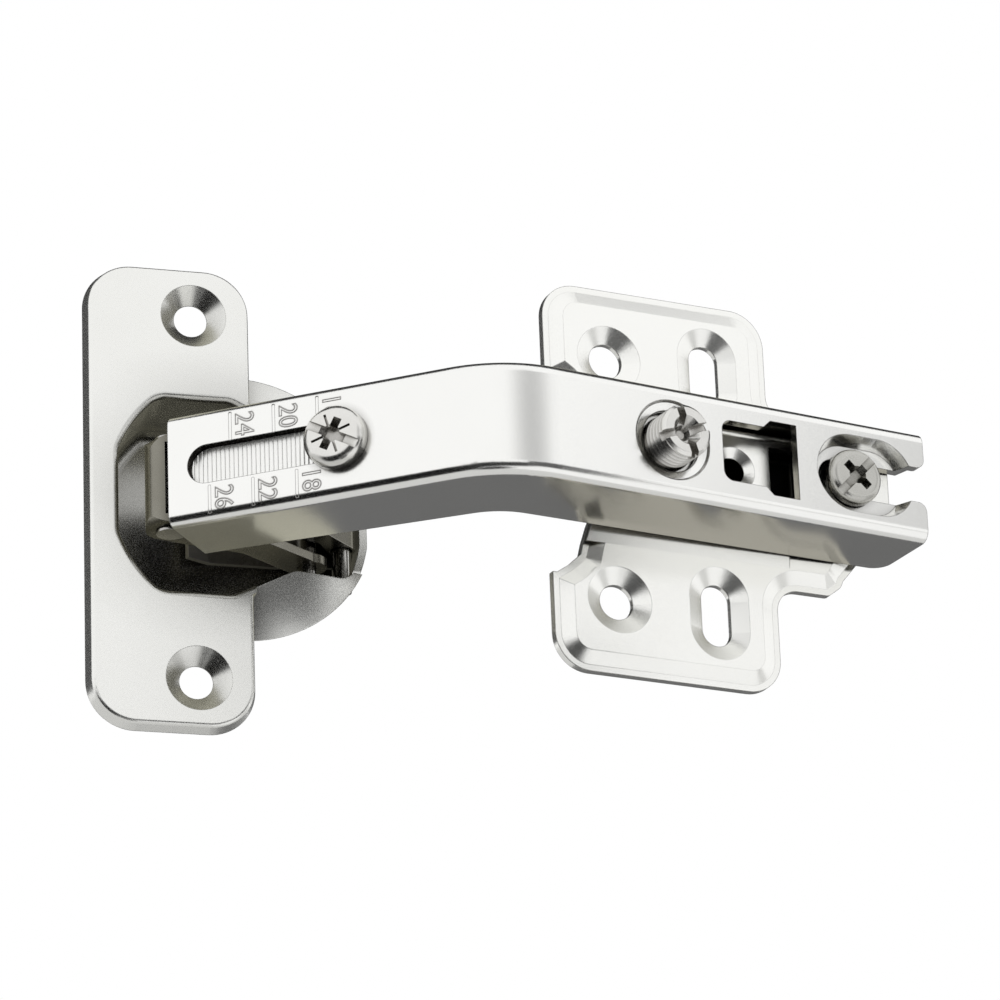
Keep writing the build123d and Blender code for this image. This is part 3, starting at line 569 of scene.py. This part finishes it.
def makeMarks(user):
    pieces = []
    for i in range(user["count"]):
        along = user["start"] + i * user["step"]
        row = user["upperRow"] if i % 2 else user["lowerRow"]
        line = scaleLine(user)
        line.data.transform(Matrix.Translation((along, row, -user["sunk"])))
        number = outlined(user["first"] - user["perLine"] * i, user)
        turn = Matrix.Rotation(-pi / 2, 4, "Z")
        beside = Matrix.Translation((along + user["digitGap"], row, -user["sunk"]))
        number.data.transform(beside @ turn)
        pieces += [line, number]
    scale = joined(pieces, "overlayScale")
    settle(scale, webFrame(armFront["tip"], armFront["angle"]))
    only(scale)
    bpy.ops.object.mode_set(mode="EDIT")
    bpy.ops.mesh.select_all(action="SELECT")
    bpy.ops.mesh.normals_make_consistent(inside=False)
    bpy.ops.object.mode_set(mode="OBJECT")
    dress(scale, "mark_steel", user["smoothUnder"])
    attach(scale, "arm")


makeMarks(marks)
print("scale marked")

# The side adjusting screw, turned with its thread and cut across its hollow end. Heights are out
# of the rear web and the place is along it, in mm.
adjuster = {
    "place": 23.1, "crest": 3.38, "root": 2.95, "pitch": 0.72, "firstCrest": 0.18, "runOut": 0.2,
    "stand": 3.499, "rim": 0.35, "rimCut": 0.05, "foot": -5.5086, "neck": 1.9,
    "neckEnd": -7.2586, "button": 3.1, "buttonHeight": 1.1,
    "slotWidth": 1.05, "slotDepth": 1.25, "slotLength": 13.52, "slotTurns": (18.0, 108.0),
    "coneTop": 1.9, "coneTip": 0.57, "coneDepth": 1.9, "steps": 72, "smoothUnder": 28,
}


def adjusterOutline(user):
    # Radius and height down the screw, from the middle of its end to the middle of its button
    top, crest, root, pitch = user["stand"], user["crest"], user["root"], user["pitch"]
    points = [(0, top - user["coneDepth"]), (user["coneTip"], top - user["coneDepth"]),
              (user["coneTop"], top), (root, top), (crest - user["rimCut"], top - user["rim"])]
    level = top - user["rim"] - user["firstCrest"]
    while level - pitch > user["foot"] + user["runOut"]:
        points += [(crest, level), (root, level - pitch / 2)]
        level -= pitch
    buttonEnd = user["neckEnd"] - user["buttonHeight"]
    points += [(crest, level), (crest, user["foot"]), (user["neck"], user["foot"]),
               (user["neck"], user["neckEnd"]), (user["button"], user["neckEnd"]),
               (user["button"], buttonEnd), (0, buttonEnd)]
    return points


def turned(points, steps, weld=0.0005):
    # A profile spun about Z: one vertex is extruded along it, then the line is spun
    bpy.ops.mesh.primitive_plane_add(size=1)
    piece = bpy.context.object
    only(piece)
    bpy.ops.object.mode_set(mode="EDIT")
    bpy.ops.mesh.merge(type="CENTER")
    bpy.ops.transform.translate(value=(points[0][0], 0, points[0][1]))
    for before, after in zip(points, points[1:]):
        step = (after[0] - before[0], 0, after[1] - before[1])
        bpy.ops.mesh.extrude_vertices_move(TRANSFORM_OT_translate={"value": step})
    bpy.ops.mesh.select_all(action="SELECT")
    bpy.ops.mesh.spin(steps=steps, angle=2 * pi, center=(0, 0, 0), axis=(0, 0, 1))
    bpy.ops.mesh.select_all(action="SELECT")
    bpy.ops.mesh.remove_doubles(threshold=weld)
    bpy.ops.mesh.normals_make_consistent(inside=False)
    bpy.ops.object.mode_set(mode="OBJECT")
    return piece


def cutAway(piece, cutter):
    cut = piece.modifiers.new("cut", "BOOLEAN")
    cut.operation = "DIFFERENCE"
    cut.solver = "EXACT"
    cut.object = cutter
    only(piece)
    bpy.ops.object.modifier_apply(modifier=cut.name)
    bpy.data.objects.remove(cutter)


def atSideScrew(piece):
    # Settles a turned piece on the axis of the side screw
    place = webFrame(armRear["bend"], armRear["angle"])
    settle(piece, place @ Matrix.Translation((adjuster["place"] * mm, 0, 0)))


def makeAdjuster(user):
    piece = turned(adjusterOutline(user), user["steps"])
    for slotTurn in user["slotTurns"]:
        bpy.ops.mesh.primitive_cube_add(size=1)
        blade = bpy.context.object
        turn = Matrix.Rotation(radians(slotTurn), 4, "Z")
        size = Matrix.Diagonal((user["slotLength"], user["slotWidth"], 2 * user["slotDepth"], 1))
        blade.data.transform(Matrix.Translation((0, 0, user["stand"])) @ turn @ size)
        cutAway(piece, blade)
    piece.name = "sideScrewThread"
    atSideScrew(piece)
    dress(piece, "screw_steel", user["smoothUnder"])
    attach(piece, "side_screw")
    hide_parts("side_adjust_screw")


makeAdjuster(adjuster)
print("side screw turned")

# The ring seated in the arm's dish round the side screw: radius and height out of the web, in mm
seat = {
    "ring": [(5.01, -0.26), (3.98, -0.52), (3.90, -0.62), (3.90, -1.02), (4.56, -1.02),
             (5.01, -0.30)],
    "steps": 72, "smoothUnder": 28,
}


def makeSeat(user):
    ring = turned(user["ring"] + user["ring"][:1], user["steps"])
    ring.name = "screwSeat"
    atSideScrew(ring)
    dress(ring, "arm_steel", user["smoothUnder"])
    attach(ring, "arm")


makeSeat(seat)
print("screw seat turned")

# The pressed pan inside the bridge, seen through its window and its hole; its near-black finish
# is painted shade of the closed tunnel. Start and end in X, top and floor in Y, in mm
well = {
    "start": 10.4, "end": 23.3, "halfWidth": 4.2, "top": -8.05, "floor": -4.9,
    "wall": 0.4, "corner": 0.9, "cornerSteps": 3, "smoothUnder": 40,
}


def makeWell(user):
    bpy.ops.mesh.primitive_cube_add(size=1)
    pan = bpy.context.object
    only(pan)
    bpy.ops.object.mode_set(mode="EDIT")
    bpy.ops.transform.resize(value=(user["end"] - user["start"], user["floor"] - user["top"],
                                    2 * user["halfWidth"]))
    bpy.ops.mesh.select_all(action="DESELECT")
    bpy.ops.object.mode_set(mode="OBJECT")
    # The side towards the window is the open one
    for face in pan.data.polygons:
        face.select = face.normal.y < -0.5
    bpy.ops.object.mode_set(mode="EDIT")
    bpy.ops.mesh.select_mode(type="FACE")
    bpy.ops.mesh.delete(type="FACE")
    bpy.ops.mesh.select_all(action="SELECT")
    bpy.ops.mesh.normals_make_consistent(inside=False)
    bpy.ops.object.mode_set(mode="OBJECT")
    rounding = pan.modifiers.new("rounding", "BEVEL")
    rounding.width, rounding.segments = user["corner"], user["cornerSteps"]
    sheet = pan.modifiers.new("sheet", "SOLIDIFY")
    sheet.thickness = user["wall"]
    for modifier in ("rounding", "sheet"):
        bpy.ops.object.modifier_apply(modifier=modifier)
    pan.name = "bridgeWell"
    middle = ((user["start"] + user["end"]) / 2, (user["top"] + user["floor"]) / 2, 0)
    settle(pan, Matrix.Translation(Vector(middle) * mm))
    dress(pan, "well_steel", user["smoothUnder"])
    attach(pan, "plate")


makeWell(well)
print("bridge pan pressed")
